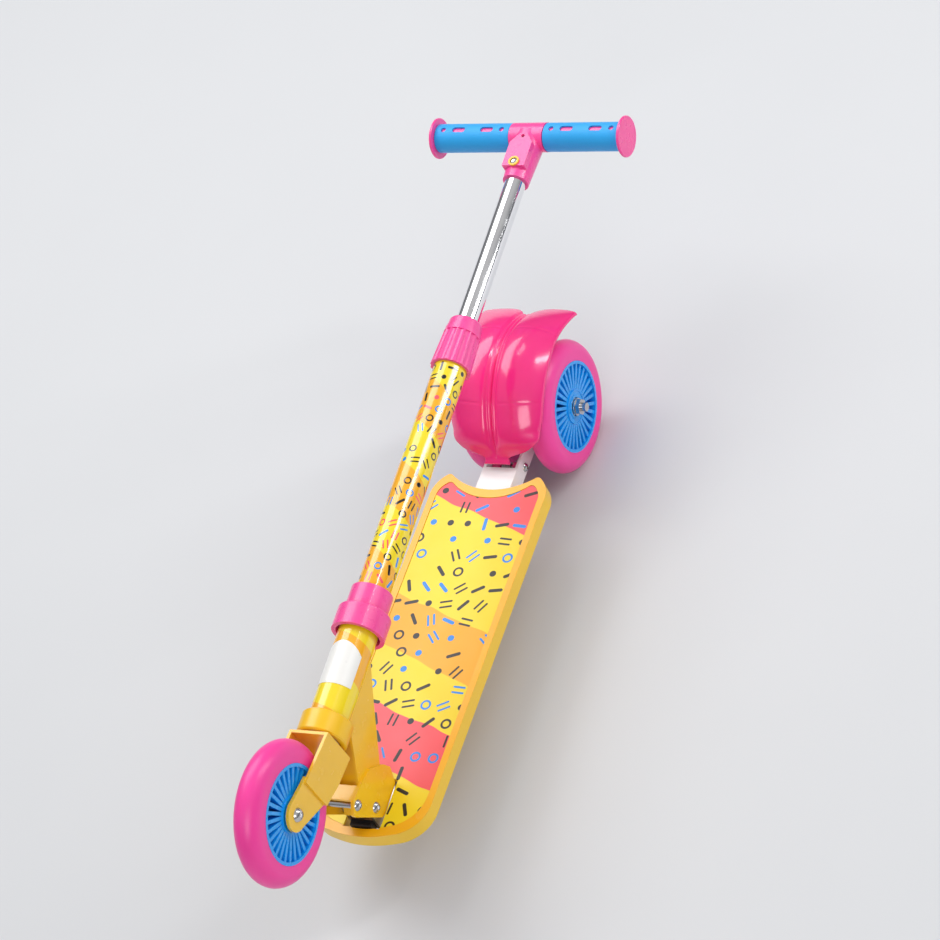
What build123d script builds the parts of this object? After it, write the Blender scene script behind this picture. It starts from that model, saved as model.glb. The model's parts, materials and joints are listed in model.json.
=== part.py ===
"""Children's folding kick scooter, modelled folded, as it is stored and carried.

World frame: X to the rider's left, Y towards the rear, Z up, ground at Z = 0.
The origin is on the ground, under the middle of the folded scooter's outline.
Column frame: the steering column stands upright in it, its front towards -Y, and its
origin is the centre of the front axle. fold() lays a column part down over the deck.
"""
from build123d import *
from math import cos, radians, sin, sqrt, tan
import os

os.makedirs("parts", exist_ok=True)

# ---- wheels: three alike ----
WHEEL_R = 60.0          # outside radius of the tyre
TYRE_HALF = 11.85       # half the tyre's width
RIM_R = 41.0            # radius where hub and tyre meet
RIM_WALL = 2.8          # thickness of the hub's rim
BOSS_R = 15.5           # radius of the hub's boss
SPOKES = 30
SPOKE_T = 3.0           # thickness of one radial spoke
HUB_WEB = 3.0           # thickness of the disc between the spokes
BEARING_R = 11.0
BEARING_BORE = 4.0
BEARING_W = 7.0
HUB_LIP = 1.3           # boss wall outside each moulded-in bearing

# ---- steering geometry ----
HEAD_ANGLE = 72.0       # column above the ground when riding, degrees
FOLD_RISE = 3.5         # column above the deck when folded, degrees
RAKE = 20.5             # steering axis behind the front axle
CROWN_GAP = 12.5        # from the tyre up to the underside of the fork crown
SHEET = 2.6             # fork and hinge steel thickness

# ---- fold hinge ----
PIVOT_BACK = 106.5      # pivot behind the front axle, square to the column
PIVOT_DROP = 8.6        # pivot below the underside of the crown, along the column
LOCK_BACK = -27.5       # lock bolt from the pivot, square to the column
LOCK_UP = -12.8         # lock bolt from the pivot, along the column
HINGE_BOLT_R = 3.0
CHEEK_OUT = 16.0        # outside of the hinge cheeks, from the middle
EAR_R = 6.6             # rounding of the deck bracket's ears about the pivot
HINGE_GAP = 0.4         # side clearance between ears and cheeks

# ---- head tube and column ----
HEAD_R = 17.0
HEAD_WALL = 2.0
HEAD_LOW = 5.1          # bottom of the head tube above the crown's underside
HEAD_TOP = 108.5        # top of the head tube above the crown's underside
CUP_R = 21.8
CUP_LENGTH = 19.5
STEERER_R = 11.0
TUBE_R = 14.7           # patterned outer tube
TUBE_WALL = 1.5
STEM_R = 9.6            # chrome inner tube
STEM_WALL = 1.4
LOW_COLLAR_R = 23.0
LOW_SLEEVE_R = 18.15
LOW_COLLAR_Z = 104.0    # bottom of the lower collar above the crown's underside
LOW_COLLAR_STEP = 21.0  # height of its wide part
LOW_COLLAR_H = 41.0
HIGH_COLLAR_Z = 369.0   # bottom of the height collar above the crown's underside
HIGH_COLLAR_H = 48.0
HIGH_COLLAR_R = 18.1
HIGH_COLLAR_TOP_R = 15.4
TUBE_INTO_COLLAR = 14.0  # the outer tube ends this far inside the height collar
STEM_IN_TUBE = 98.0     # stem inside the outer tube, below the height collar
SLIDE = 0.3             # radial clearance of sliding and turning sleeves
FIT = 0.05              # radial clearance of pressed and running fits

# ---- handlebar ----
BAR_UP = 619.2          # bar's centre line above the crown's underside
BAR_HALF = 95.0         # half the handlebar's length
CORE_R = 11.2           # pink arms inside the grips
GRIP_R = 13.0
GRIP_FROM = 17.0        # inner end of each grip
CAP_R = 18.4
CAP_T = 2.5
SLEEVE_R = 11.9         # lower end of the T-head's sleeve
SLEEVE_TOP_R = 14.4
SLEEVE_DROP = 50.2      # sleeve's lower end below the bar's centre line
BUTTON_DROP = 37.0      # button below the bar's centre line
BUTTON_R = 3.0
SET_SCREW_DROP = 8.6
GUSSET_OUT = 13.9       # front of the T-head's gusset, ahead of the steering axis

# ---- deck ----
DECK_LENGTH = 371.2
DECK_HALF = 56.9
DECK_H = 14.3
DECK_WALL = 3.0
RIM_W = 6.2             # width of the raised rim round the mat
RIM_REAR = 8.6          # width of the rim along the rear edge
RIM_H = 1.8             # rim above the floor that carries the mat
FLOOR_T = 2.6
MAT_T = 1.2
MAT_GAP = 0.3
TIP_AHEAD = 21.2        # front of the deck ahead of the pivot
PIVOT_OVER_DECK = 13.6
SLOT_HALF = 17.3        # slot in the deck for the hinge
SLOT_AHEAD = 12.6
SLOT_BEHIND = 36.0
REAR_SCOOP = 16.0       # depth of the hollow in the rear edge
PEAK_X = 43.6           # the two rear points, from the middle
RIB_T = 2.0
CROSS_RIBS = 7
LATCH_HALF = 10.0
LATCH_TRAVEL = 5.0

# ---- tail and rear axle ----
AXLE_BEHIND = 87.6      # rear axle behind the deck's rear points
TAIL_HALF = 17.0
TAIL_WALL = 2.5
TAIL_H = 17.0
TAIL_UNDER_DECK = 92.0  # length of the tail held inside the deck
TRACK_HALF = 34.3       # rear wheels from the middle
AXLE_R = 3.95
BRAKE_AHEAD = 66.7      # brake pin ahead of the rear axle
BRAKE_DROP = 2.0        # brake pin below the rear axle
BRAKE_PIN_R = 2.5

# ---- fender ----
FENDER_R = 74.0         # outside radius of the shell, about its own centre
FENDER_BACK = 6.0       # shell's centre behind the axle
FENDER_UP = 4.0         # shell's centre above the axle
FENDER_T = 2.8
FENDER_HALF = 47.2
BRAKE_GAP = 6.0         # brake ribs above the tyres

# ---- places that follow from the sizes above ----
crown_z = WHEEL_R + CROWN_GAP
pivot_up = crown_z - PIVOT_DROP
bar_z = crown_z + BAR_UP


def column_offset(back, up, angle):
    """World Y and Z of a column point from the axle, with the column at an angle."""
    c, s = cos(radians(angle)), sin(radians(angle))
    return up * c + back * s, up * s - back * c


pivot_z = WHEEL_R + column_offset(PIVOT_BACK, pivot_up, HEAD_ANGLE)[1]
pivot_from_axle = column_offset(PIVOT_BACK, pivot_up, FOLD_RISE)
bar_from_axle = column_offset(RAKE, bar_z, FOLD_RISE)
foremost = -pivot_from_axle[0] - WHEEL_R
rearmost = bar_from_axle[0] - pivot_from_axle[0] + CAP_R
pivot_y = -(foremost + rearmost) / 2
axle_y = pivot_y - pivot_from_axle[0]
axle_z = pivot_z - pivot_from_axle[1]

deck_top = pivot_z - PIVOT_OVER_DECK
deck_base = deck_top - DECK_H
floor_top = deck_top - RIM_H
floor_base = floor_top - FLOOR_T
tip_y = pivot_y - TIP_AHEAD
peak_y = tip_y + DECK_LENGTH
scoop_y = peak_y - REAR_SCOOP
rear_y = peak_y + AXLE_BEHIND
tail_top = floor_base - 0.2
tail_base = tail_top - TAIL_H
brake_y = rear_y - BRAKE_AHEAD
brake_z = WHEEL_R - BRAKE_DROP


# ---- building blocks ----
def fold(shape):
    """Lay a part of the column frame down over the deck."""
    return Location((0, axle_y, axle_z), (-(90 - FOLD_RISE), 0, 0)) * shape


def rod(radius, x0, x1, y, z):
    """Cylinder along X."""
    return extrude(Plane.YZ.offset(x0) * Pos(y, z) * Circle(radius), x1 - x0)


def pipe(outer, inner, x0, x1, y, z):
    """Tube along X."""
    return rod(outer, x0, x1, y, z) - rod(inner, x0 - 1, x1 + 1, y, z)


def post(radius, z0, z1, y=RAKE, x=0.0):
    """Upright cylinder, on the steering axis unless placed."""
    return Pos(x, y, z0) * Cylinder(radius, z1 - z0, align=(Align.CENTER, Align.CENTER, Align.MIN))


def tube(outer, inner, z0, z1, y=RAKE, x=0.0):
    """Upright tube, on the steering axis unless placed."""
    return post(outer, z0, z1, y, x) - post(inner, z0 - 1, z1 + 1, y, x)


def cone_post(r0, r1, z0, z1, y=RAKE):
    """Upright cone on the steering axis."""
    shape = Cone(r0, r1, z1 - z0, align=(Align.CENTER, Align.CENTER, Align.MIN))
    return Pos(0, y, z0) * shape


def side_plate(points, x0, x1):
    """Plate square to X, from an outline of (y, z) points."""
    return extrude(Plane.YZ.offset(x0) * make_face(Polyline(*points, close=True)), x1 - x0)


def box(x0, x1, y0, y1, z0, z1):
    """Block between two corners."""
    return Pos((x0 + x1) / 2, (y0 + y1) / 2, (z0 + z1) / 2) * Box(x1 - x0, y1 - y0, z1 - z0)


def both_sides(shape):
    """The shape and its mirror image in the scooter's middle plane."""
    return [shape, mirror(shape, Plane.YZ)]


def dome_head(radius, height, x, y, z, side):
    """Domed bolt head on the plane x, pointing to the given side, with a hex socket."""
    shoulder = (x + side * height * 0.62, radius * 0.72)
    arc = ThreePointArc((x, radius), shoulder, (x + side * height, 0))
    profile = make_face(arc + Polyline((x + side * height, 0), (x, 0), (x, radius)))
    cap = Pos(0, y, z) * revolve(Plane.XZ * profile, Axis.X, 360)
    deep = side * (height + 1)
    socket_plane = Plane.YZ.offset(x + side * height * 0.45)
    return cap - extrude(socket_plane * Pos(y, z) * RegularPolygon(radius * 0.45, 6), deep)


def hex_nut(across, thick, bore, x0, y, z):
    """Hexagon nut along X, starting at x0."""
    blank = extrude(Plane.YZ.offset(x0) * Pos(y, z) * RegularPolygon(across / sqrt(3), 6), thick)
    return blank - rod(bore, x0 - 1, x0 + thick + 1, y, z)


def together(*shapes):
    """Separate solids that share one node."""
    solids = []
    for shape in shapes:
        for piece in shape if isinstance(shape, list) else [shape]:
            solids += piece.solids()
    return solids[0] if len(solids) == 1 else Compound(children=solids)


def common(shape, tool):
    """What two shapes share, as one shape."""
    return together(shape & tool)


def write(node, shape):
    """Write one node's solids as a STEP file named after it."""
    export_step(together(shape), f"parts/{node}.step")


# ---- wheels ----
bearing_out = TYRE_HALF - HUB_LIP
bearing_in = bearing_out - BEARING_W


def tyre():
    """Solid tyre: flat sides at the rim, half-round tread."""
    centre_r = WHEEL_R - TYRE_HALF
    inner = RIM_R + FIT
    sides = Polyline((-TYRE_HALF, centre_r), (-TYRE_HALF, inner), (TYRE_HALF, inner), (TYRE_HALF, centre_r))
    crown = ThreePointArc((TYRE_HALF, centre_r), (0, WHEEL_R), (-TYRE_HALF, centre_r))
    return revolve(Plane.XZ * make_face(sides + crown), Axis.X, 360)


def hub():
    """Hub of one moulding round its bearings: rim, boss, a middle disc and radial spokes."""
    inner_rim = RIM_R - RIM_WALL
    rim_ring = Circle(RIM_R) - Circle(inner_rim)
    spoke = Pos((BOSS_R + inner_rim) / 2, 0) * Rectangle(inner_rim - BOSS_R + 1.6, SPOKE_T)
    fan = [Rot(0, 0, 360 * i / SPOKES) * spoke for i in range(SPOKES)]
    spoke_half = TYRE_HALF - 1.2
    body = extrude(Plane.YZ.offset(-spoke_half) * (Sketch() + fan), 2 * spoke_half)
    body += extrude(Plane.YZ.offset(-TYRE_HALF) * rim_ring, 2 * TYRE_HALF)
    body += rod(BOSS_R, -TYRE_HALF, TYRE_HALF, 0, 0)
    body += rod(inner_rim + 0.5, -HUB_WEB / 2, HUB_WEB / 2, 0, 0)
    body -= pipe(BOSS_R - 1.2, BEARING_R, TYRE_HALF - 0.5, TYRE_HALF + 1, 0, 0)
    body -= rod(BEARING_R - 2.5, -TYRE_HALF - 1, TYRE_HALF + 1, 0, 0)
    for seat in both_sides(rod(BEARING_R + FIT, bearing_in, bearing_out, 0, 0)):
        body -= seat
    return body


def bearing_pair():
    """Two ball bearings with recessed shields."""
    ring = pipe(BEARING_R, BEARING_BORE, bearing_in, bearing_out, 0, 0)
    for face in (bearing_in - 1 + 0.5, bearing_out - 0.5):
        ring -= pipe(BEARING_R - 1.8, BEARING_BORE + 2.0, face, face + 1, 0, 0)
    return together(*both_sides(ring))


def place_wheel(prefix, move):
    """Write the three nodes of one wheel."""
    write(f"{prefix}_tyre", move * tyre_shape)
    write(f"{prefix}_hub", move * hub_shape)
    write(f"{prefix}_bearings", move * bearings_shape)


tyre_shape, hub_shape, bearings_shape = tyre(), hub(), bearing_pair()
place_wheel("front", Location((0, axle_y, axle_z)))
place_wheel("rear_left", Location((TRACK_HALF, rear_y, WHEEL_R)))
place_wheel("rear_right", Location((-TRACK_HALF, rear_y, WHEEL_R)))

# ---- fork and front axle, in the column frame ----
leg_out = 18.0                          # outside of the legs at the crown
foot_out = 16.0                         # outside of the legs at the axle
crown_front = RAKE - 21.3
crown_back = RAKE + 21.8


def fork():
    """One bent plate: a flat crown and two legs, set inwards below a joggle."""
    foot_r = 14.0
    joggle = 26.0
    upper = [(crown_front, crown_z + SHEET), (crown_back, crown_z + SHEET), (crown_back - 3, 48), (33, joggle),
             (-7, joggle)]
    lower = [(-7, joggle + 5), (32.5, joggle + 5), (30.5, 25), (11, -8), (foot_r * -0.98, 2)]
    shape = box(-leg_out, leg_out, crown_front, crown_back, crown_z, crown_z + SHEET)
    for side in (-1, 1):
        wide = side_plate(upper, leg_out - SHEET, leg_out)
        near = side_plate(lower, foot_out - SHEET, foot_out)
        near += rod(foot_r, foot_out - SHEET, foot_out, 0, 0)
        step = box(foot_out - SHEET, leg_out, -6.6, 32.5, joggle, joggle + 5)
        leg = wide + near + step
        leg -= rod(BEARING_BORE + 0.1, 0, 40, 0, 0)
        shape += leg if side == 1 else mirror(leg, Plane.YZ)
    return shape


collar_floor = crown_z + LOW_COLLAR_Z + LOW_COLLAR_STEP - 6
tube_bottom = collar_floor + 0.6
tube_top = crown_z + HIGH_COLLAR_Z + TUBE_INTO_COLLAR
tube_bore = TUBE_R - TUBE_WALL
head_bottom = crown_z + HEAD_LOW
head_top = crown_z + HEAD_TOP
steerer_top = tube_bottom + 25
stem_bottom = crown_z + HIGH_COLLAR_Z - STEM_IN_TUBE
sleeve_bottom = bar_z - SLEEVE_DROP


def steerer():
    """Steel tube from the crown up into the outer tube."""
    return tube(STEERER_R, STEERER_R - 2, crown_z + SHEET, steerer_top)


def crown_race():
    """Seat of the lower headset bearing, on the crown."""
    return tube(HEAD_R - 1, STEERER_R + FIT, crown_z + SHEET, head_bottom - 0.4)


def headset_bearings():
    """The two plain bearings in the ends of the head tube."""
    out = HEAD_R - HEAD_WALL - FIT
    low = tube(out, STEERER_R + FIT, head_bottom, head_bottom + 10)
    high = tube(out, STEERER_R + FIT, head_top - 10, head_top)
    return together(low, high)


def lower_cup():
    """Yellow ring round the head tube's lower end."""
    ring = tube(CUP_R, HEAD_R + FIT, head_bottom, head_bottom + CUP_LENGTH)
    rim = [e for e in ring.edges().filter_by(GeomType.CIRCLE) if abs(e.radius - CUP_R) < 0.01]
    return chamfer(rim, 1.2)


def lower_collar():
    """Stepped collar that ties the outer tube to the steerer and hoods the head tube."""
    z0 = crown_z + LOW_COLLAR_Z
    step = z0 + LOW_COLLAR_STEP
    body = post(LOW_COLLAR_R, z0, step) + post(LOW_SLEEVE_R, step - 1, z0 + LOW_COLLAR_H)
    rims = [e for e in body.edges().filter_by(GeomType.CIRCLE) if e.center().Z > step - 0.1 and e.radius > LOW_SLEEVE_R - 0.1]
    body = fillet([e for e in rims if abs(e.center().Z - step) < 0.1 and e.radius > LOW_COLLAR_R - 0.1], 1.8)
    body -= post(HEAD_R + 2.2, z0 - 1, collar_floor - 4)
    body -= post(STEERER_R + FIT, z0, z0 + LOW_COLLAR_H + 1)
    body -= post(TUBE_R + FIT, collar_floor, z0 + LOW_COLLAR_H + 1)
    return body


def steerer_insert():
    """Sleeve between the steerer and the outer tube."""
    return tube(tube_bore - FIT, STEERER_R + FIT, tube_bottom, steerer_top - 2)


def outer_tube():
    """Patterned tube, with a bead at its top."""
    return tube(TUBE_R, tube_bore, tube_bottom, tube_top)


def collet():
    """Slotted ring that the height collar squeezes onto the stem."""
    z0 = tube_top + 0.3
    z1 = crown_z + HIGH_COLLAR_Z + HIGH_COLLAR_H - 8
    ring = tube(tube_bore - 0.4, STEM_R + SLIDE, z0, z1)
    plug = tube(tube_bore - FIT, STEM_R + SLIDE, z0 - 24, z0)
    ring += plug
    for turn in range(3):
        cutter = box(-0.8, 0.8, 0, 20, z0 + 6, z1 + 1)
        ring -= Pos(0, RAKE, 0) * Rot(0, 0, 120 * turn) * cutter
    return ring


def height_collar():
    """Fluted twist collar that locks the stem's height."""
    z0 = crown_z + HIGH_COLLAR_Z
    z1 = z0 + HIGH_COLLAR_H
    band = z1 - 9
    body = cone_post(HIGH_COLLAR_R, HIGH_COLLAR_TOP_R + 0.6, z0, band)
    body += cone_post(HIGH_COLLAR_TOP_R, HIGH_COLLAR_TOP_R - 0.6, band, z1)
    top_rim = [e for e in body.edges().filter_by(GeomType.CIRCLE) if abs(e.center().Z - z1) < 0.1]
    body = fillet(top_rim, 2.0)
    flutes = 16
    groove_r = 4.5
    for i in range(flutes):
        angle = 360 * i / flutes
        tilt = (HIGH_COLLAR_R - HIGH_COLLAR_TOP_R) / (band - z0)
        lean = Rot(0, 0, angle) * Pos(HIGH_COLLAR_R + groove_r - 0.6, 0, z0 - 2) * Rot(0, -57.3 * tilt, 0)
        groove = lean * Cylinder(groove_r, band - z0 - 3, align=(Align.CENTER, Align.CENTER, Align.MIN))
        body -= Pos(0, RAKE, 0) * groove
    body -= post(TUBE_R + SLIDE, z0 - 1, tube_top + 0.9)
    body -= cone_post(tube_bore, tube_bore - 0.05, tube_top + 0.8, z1 - 7.4)
    body -= post(STEM_R + SLIDE, z0, z1 + 1)
    return body


def stem_tube():
    """Chrome tube, with the button's hole near its top."""
    top = bar_z - CORE_R - 1.0
    body = tube(STEM_R, STEM_R - STEM_WALL, stem_bottom, top)
    hole = Plane.XZ.offset(-RAKE) * Pos(0, bar_z - BUTTON_DROP) * Circle(BUTTON_R + SLIDE)
    return body - extrude(hole, 40)


def stem_foot():
    """Plastic guide on the stem's lower end."""
    low = stem_bottom - 6
    body = tube(tube_bore - SLIDE, STEM_R - STEM_WALL - 3, low, stem_bottom)
    return body + tube(STEM_R - STEM_WALL - FIT, STEM_R - STEM_WALL - 3, stem_bottom - 1, stem_bottom + 16)


# ---- T-head, grips and button, in the column frame ----
def button_bore(radius, depth_from, depth_to):
    """Cylinder along Y at the button's place, measured forward of the steering axis."""
    plane = Plane.XZ.offset(depth_from - RAKE)
    return extrude(plane * Pos(0, bar_z - BUTTON_DROP) * Circle(radius), depth_to - depth_from)


def handle_head():
    """T-shaped moulding: sleeve over the stem, arms inside the grips, gusset in front."""
    arms = rod(CORE_R, -BAR_HALF + CAP_T, BAR_HALF - CAP_T, RAKE, bar_z)
    centre = rod(GRIP_R + 0.3, -GRIP_FROM + 0.4, GRIP_FROM - 0.4, RAKE, bar_z)
    sleeve = cone_post(SLEEVE_R, SLEEVE_TOP_R, sleeve_bottom, bar_z)
    edge = SLEEVE_R - 0.9
    low, high = sleeve_bottom + 9, bar_z - 15
    gusset = make_face(Polyline((-edge, high), (0, bar_z - 1), (edge, high), (edge, low), (-edge, low), close=True))
    body = arms + centre + sleeve + extrude(Plane.XZ.offset(-RAKE) * gusset, GUSSET_OUT)
    body -= post(STEM_R + FIT, sleeve_bottom - 1, bar_z - CORE_R - 0.9)
    body -= rod(8.0 + FIT, -BAR_HALF, BAR_HALF, RAKE, bar_z)
    body -= button_bore(BUTTON_R + SLIDE, 0, 30)
    body -= button_bore(4.2 + FIT, GUSSET_OUT - 1.3, 30)
    screw_plane = Plane.XZ.offset(8.0 - RAKE)
    body -= extrude(screw_plane * Pos(0, bar_z - SET_SCREW_DROP) * Circle(1.7 + FIT), 30)
    return body


def grip():
    """Soft sleeve with two slots and two holes along its front."""
    body = pipe(GRIP_R, CORE_R + FIT, GRIP_FROM, BAR_HALF - CAP_T - 0.1, RAKE, bar_z)
    ends = [e for e in body.edges().filter_by(GeomType.CIRCLE) if abs(e.radius - GRIP_R) < 0.01]
    body = chamfer(ends, 0.5)
    front = Plane.XZ.offset(-RAKE)
    for x in (39.9, 68.4):
        slot = front * Pos(x, bar_z) * SlotOverall(13.0, 5.4)
        body -= extrude(slot, 30)
    for x in (24.8, 84.0):
        body -= extrude(front * Pos(x, bar_z) * Circle(2.5), 30)
    return body


def end_cap():
    """Flange disc with a plug that is pressed into the bar tube."""
    disc = rod(CAP_R, BAR_HALF - CAP_T, BAR_HALF, RAKE, bar_z)
    disc = chamfer(disc.edges().filter_by(GeomType.CIRCLE), 0.7)
    return disc + pipe(6.5 - FIT, 4.5, BAR_HALF - 14, BAR_HALF - CAP_T + 0.5, RAKE, bar_z)


def button_bezel():
    """Ring round the handle button."""
    ring = button_bore(5.0, GUSSET_OUT, GUSSET_OUT + 1.5) + button_bore(4.2, GUSSET_OUT - 1.2, GUSSET_OUT + 0.1)
    return ring - button_bore(BUTTON_R + SLIDE, 0, 30)


def handle_button():
    """Domed snap button that keeps the T-head on the stem."""
    tip = GUSSET_OUT + 2.1
    body = button_bore(BUTTON_R, 4.4, tip)
    ball_r = 5.0
    ball = Pos(0, RAKE - tip + ball_r, bar_z - BUTTON_DROP) * Sphere(ball_r)
    body = common(body, ball) + button_bore(BUTTON_R, 4.4, tip - 2.4)
    return body + button_bore(BUTTON_R + 1.4, 4.4, 5.6)


def button_spring():
    """Leaf spring folded inside the stem behind the button."""
    z0 = bar_z - BUTTON_DROP
    back = box(-2.5, 2.5, RAKE + 6.6, RAKE + 7.4, z0 - 24, z0 + 3)
    bottom = box(-2.5, 2.5, RAKE - 0.8, RAKE + 7.4, z0 - 24.8, z0 - 24)
    front = box(-2.5, 2.5, RAKE - 0.8, RAKE, z0 - 24, z0 + 3)
    return back + bottom + front


def head_screw():
    """Set screw that keeps the bar tube in the T-head."""
    screw = extrude(Plane.XZ.offset(8.3 - RAKE) * Pos(0, bar_z - SET_SCREW_DROP) * Circle(1.7), 3.4)
    return screw - extrude(Plane.XZ.offset(10.4 - RAKE) * Pos(0, bar_z - SET_SCREW_DROP) * RegularPolygon(0.9, 6), 3)


# ---- neck and hinge, in the column frame ----
cheek_in = CHEEK_OUT - SHEET
neck_in = cheek_in - 2.4
ear_out = cheek_in - HINGE_GAP
ear_in = ear_out - SHEET
web_gap = EAR_R + 0.6                   # face of the neck's web from the pivot
neck_y, neck_z = -0.79, 0.61            # the neck's run, from the pivot to the head tube


def neck_point(along, ahead):
    """Column-frame point from the pivot: along the neck's run, and ahead of it."""
    return (PIVOT_BACK + along * neck_y - ahead * neck_z, pivot_up + along * neck_z - ahead * -neck_y)


def neck():
    """Side plates and a set-back web, welded to the head tube."""
    plate = [neck_point(16, 16.8), neck_point(16, -18), neck_point(44, -21), neck_point(86, -25),
             (RAKE, head_bottom + 92), (RAKE, head_bottom + CUP_LENGTH + 0.6), neck_point(86, 16.8)]
    sides = both_sides(side_plate(plate, neck_in, cheek_in))
    web = [neck_point(16, web_gap + 2.4), neck_point(16, web_gap), neck_point(88, web_gap), neck_point(88, web_gap + 2.4)]
    tongue = [neck_point(-4.8, web_gap + 2.4), neck_point(-4.8, web_gap), neck_point(17, web_gap),
              neck_point(17, web_gap + 2.4)]
    body = sides[0] + sides[1] + side_plate(web, -neck_in, neck_in)
    body += side_plate(tongue, -LATCH_HALF + 0.4, LATCH_HALF - 0.4)
    body -= post(HEAD_R + FIT, 0, bar_z)
    body -= post(CUP_R + 0.3, head_bottom - 1, head_bottom + CUP_LENGTH + 0.3)
    return body


def hinge_cheek():
    """Outer plate of the hinge, welded to the neck's side."""
    from_pivot = [(-35.6, -14.1), (-27.6, -23.2), (-24.0, -22.2), (15.1, -1.3), (16.6, 3.0), (16.6, 31.6),
                  (0.5, 38.6), (-10.8, 34.6), (-27.7, 21.0), (-33.1, 5.0)]
    outline = [(PIVOT_BACK + y, pivot_up + z) for y, z in from_pivot]
    plate = side_plate(outline, cheek_in, CHEEK_OUT)
    upright = plate.edges().filter_by(Axis.X)
    plate = fillet(upright, 2.2)
    for y, z in ((0, 0), (LOCK_BACK, LOCK_UP)):
        plate -= rod(HINGE_BOLT_R + FIT, 0, 30, PIVOT_BACK + y, pivot_up + z)
    return plate


def hinge_web():
    """Plate between the cheeks, ahead of the lock bolt."""
    outline = [(-35.3, -12.6), (-32.7, -12.9), (-31.0, 1.4), (-33.6, 1.8)]
    return side_plate([(PIVOT_BACK + y, pivot_up + z) for y, z in outline], -cheek_in, cheek_in)


def hinge_bolt(y, z):
    """Domed bolt through both cheeks, its head on the rider's left."""
    shank = rod(HINGE_BOLT_R, -CHEEK_OUT - 6, CHEEK_OUT + 0.2, PIVOT_BACK + y, pivot_up + z)
    return shank + dome_head(4.9, 3.0, CHEEK_OUT, PIVOT_BACK + y, pivot_up + z, 1)


def label():
    """Blank label on the front of the head tube, with an arched top."""
    z0 = head_bottom + 45
    z1 = z0 + 40
    shell = tube(HEAD_R + 0.35, HEAD_R + FIT, z0, z1)
    half = 15.5
    arch = Polyline((-half, z0), (half, z0), (half, z1 - 10)) + ThreePointArc((half, z1 - 10), (0, z1), (-half, z1 - 10))
    arch += Line((-half, z1 - 10), (-half, z0))
    return common(shell, extrude(Plane.XZ.offset(-RAKE) * make_face(arch), HEAD_R + 5))


hinge_nuts = [hex_nut(10, 5, HINGE_BOLT_R + FIT, -CHEEK_OUT - 5, PIVOT_BACK + y, pivot_up + z)
              for y, z in ((0, 0), (LOCK_BACK, LOCK_UP))]
head_tube = tube(HEAD_R, HEAD_R - HEAD_WALL, head_bottom, head_top)
left_cheek = hinge_cheek()
left_grip = grip()
left_cap = end_cap()
foot_spacer = pipe(6.0, BEARING_BORE + FIT, bearing_out + 0.05, foot_out - SHEET, 0, 0)
middle_spacer = pipe(6.0, BEARING_BORE + FIT, 0.05 - bearing_in, bearing_in - 0.05, 0, 0)
washer_t = 1.2
front_bolt = rod(AXLE_R, -foot_out - 10.5, foot_out + 0.2, 0, 0)
front_bolt += dome_head(6.0, 4.2, foot_out, 0, 0, 1)
front_washer = pipe(7.5, BEARING_BORE + 0.1, -foot_out - washer_t, -foot_out, 0, 0)
front_nut = hex_nut(13, 6.5, BEARING_BORE, -foot_out - washer_t - 6.5, 0, 0)

column_nodes = {
    "fork": fork(),
    "steerer": steerer(),
    "crown_race": crown_race(),
    "lower_collar": lower_collar(),
    "steerer_insert": steerer_insert(),
    "outer_tube": outer_tube(),
    "collet": collet(),
    "front_axle_bolt": front_bolt,
    "front_axle_nut": together(front_nut, front_washer),
    "front_axle_spacers": together(*both_sides(foot_spacer), middle_spacer),
    "height_collar": height_collar(),
    "stem_tube": stem_tube(),
    "stem_foot": stem_foot(),
    "handle_head": handle_head(),
    "bar_tube": pipe(8.0, 6.5, -BAR_HALF + CAP_T + 0.1, BAR_HALF - CAP_T - 0.1, RAKE, bar_z),
    "grip_left": left_grip,
    "grip_right": mirror(left_grip, Plane.YZ),
    "end_cap_left": left_cap,
    "end_cap_right": mirror(left_cap, Plane.YZ),
    "button_bezel": button_bezel(),
    "handle_button": handle_button(),
    "button_spring": button_spring(),
    "head_screw": head_screw(),
    "head_tube": head_tube,
    "lower_cup": lower_cup(),
    "headset_bearings": headset_bearings(),
    "neck": neck(),
    "hinge_cheek_left": left_cheek,
    "hinge_cheek_right": mirror(left_cheek, Plane.YZ),
    "hinge_web": hinge_web(),
    "pivot_bolt": hinge_bolt(0, 0),
    "lock_bolt": hinge_bolt(LOCK_BACK, LOCK_UP),
    "hinge_nuts": together(*hinge_nuts),
    "label": label(),
}
for node, shape in column_nodes.items():
    write(node, fold(together(shape)))


# ---- deck ----
def deck_outline(inset=0.0, rear_inset=0.0):
    """Rounded front, straight sides, and a hollow rear edge between two points."""
    side = DECK_HALF - inset
    tip = tip_y + inset * 1.2
    corner_x, corner_y = side - DECK_HALF * 0.47, tip + 37
    rear_side_y = peak_y - 27
    peak = (PEAK_X - inset * 0.6, peak_y - rear_inset)
    bulge_x, bulge_y = side - 3.2, (rear_side_y + peak[1]) / 2 + 3
    edge = Line((side, rear_side_y), (side, corner_y))
    edge += ThreePointArc((side, corner_y), (side - 9.2, tip + 14), (corner_x, tip + 4.4))
    edge += ThreePointArc((corner_x, tip + 4.4), (0, tip), (-corner_x, tip + 4.4))
    edge += ThreePointArc((-corner_x, tip + 4.4), (9.2 - side, tip + 14), (-side, corner_y))
    edge += Line((-side, corner_y), (-side, rear_side_y))
    edge += ThreePointArc((-side, rear_side_y), (-bulge_x, bulge_y), (-peak[0], peak[1]))
    edge += ThreePointArc((-peak[0], peak[1]), (0, scoop_y - rear_inset), peak)
    edge += ThreePointArc(peak, (bulge_x, bulge_y), (side, rear_side_y))
    face = make_face(edge)
    points = [v for v in face.vertices() if abs(v.Y - peak[1]) < 0.01]
    return fillet(points, 4.0)


slot_y0 = pivot_y - SLOT_AHEAD
slot_y1 = pivot_y + SLOT_BEHIND


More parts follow.
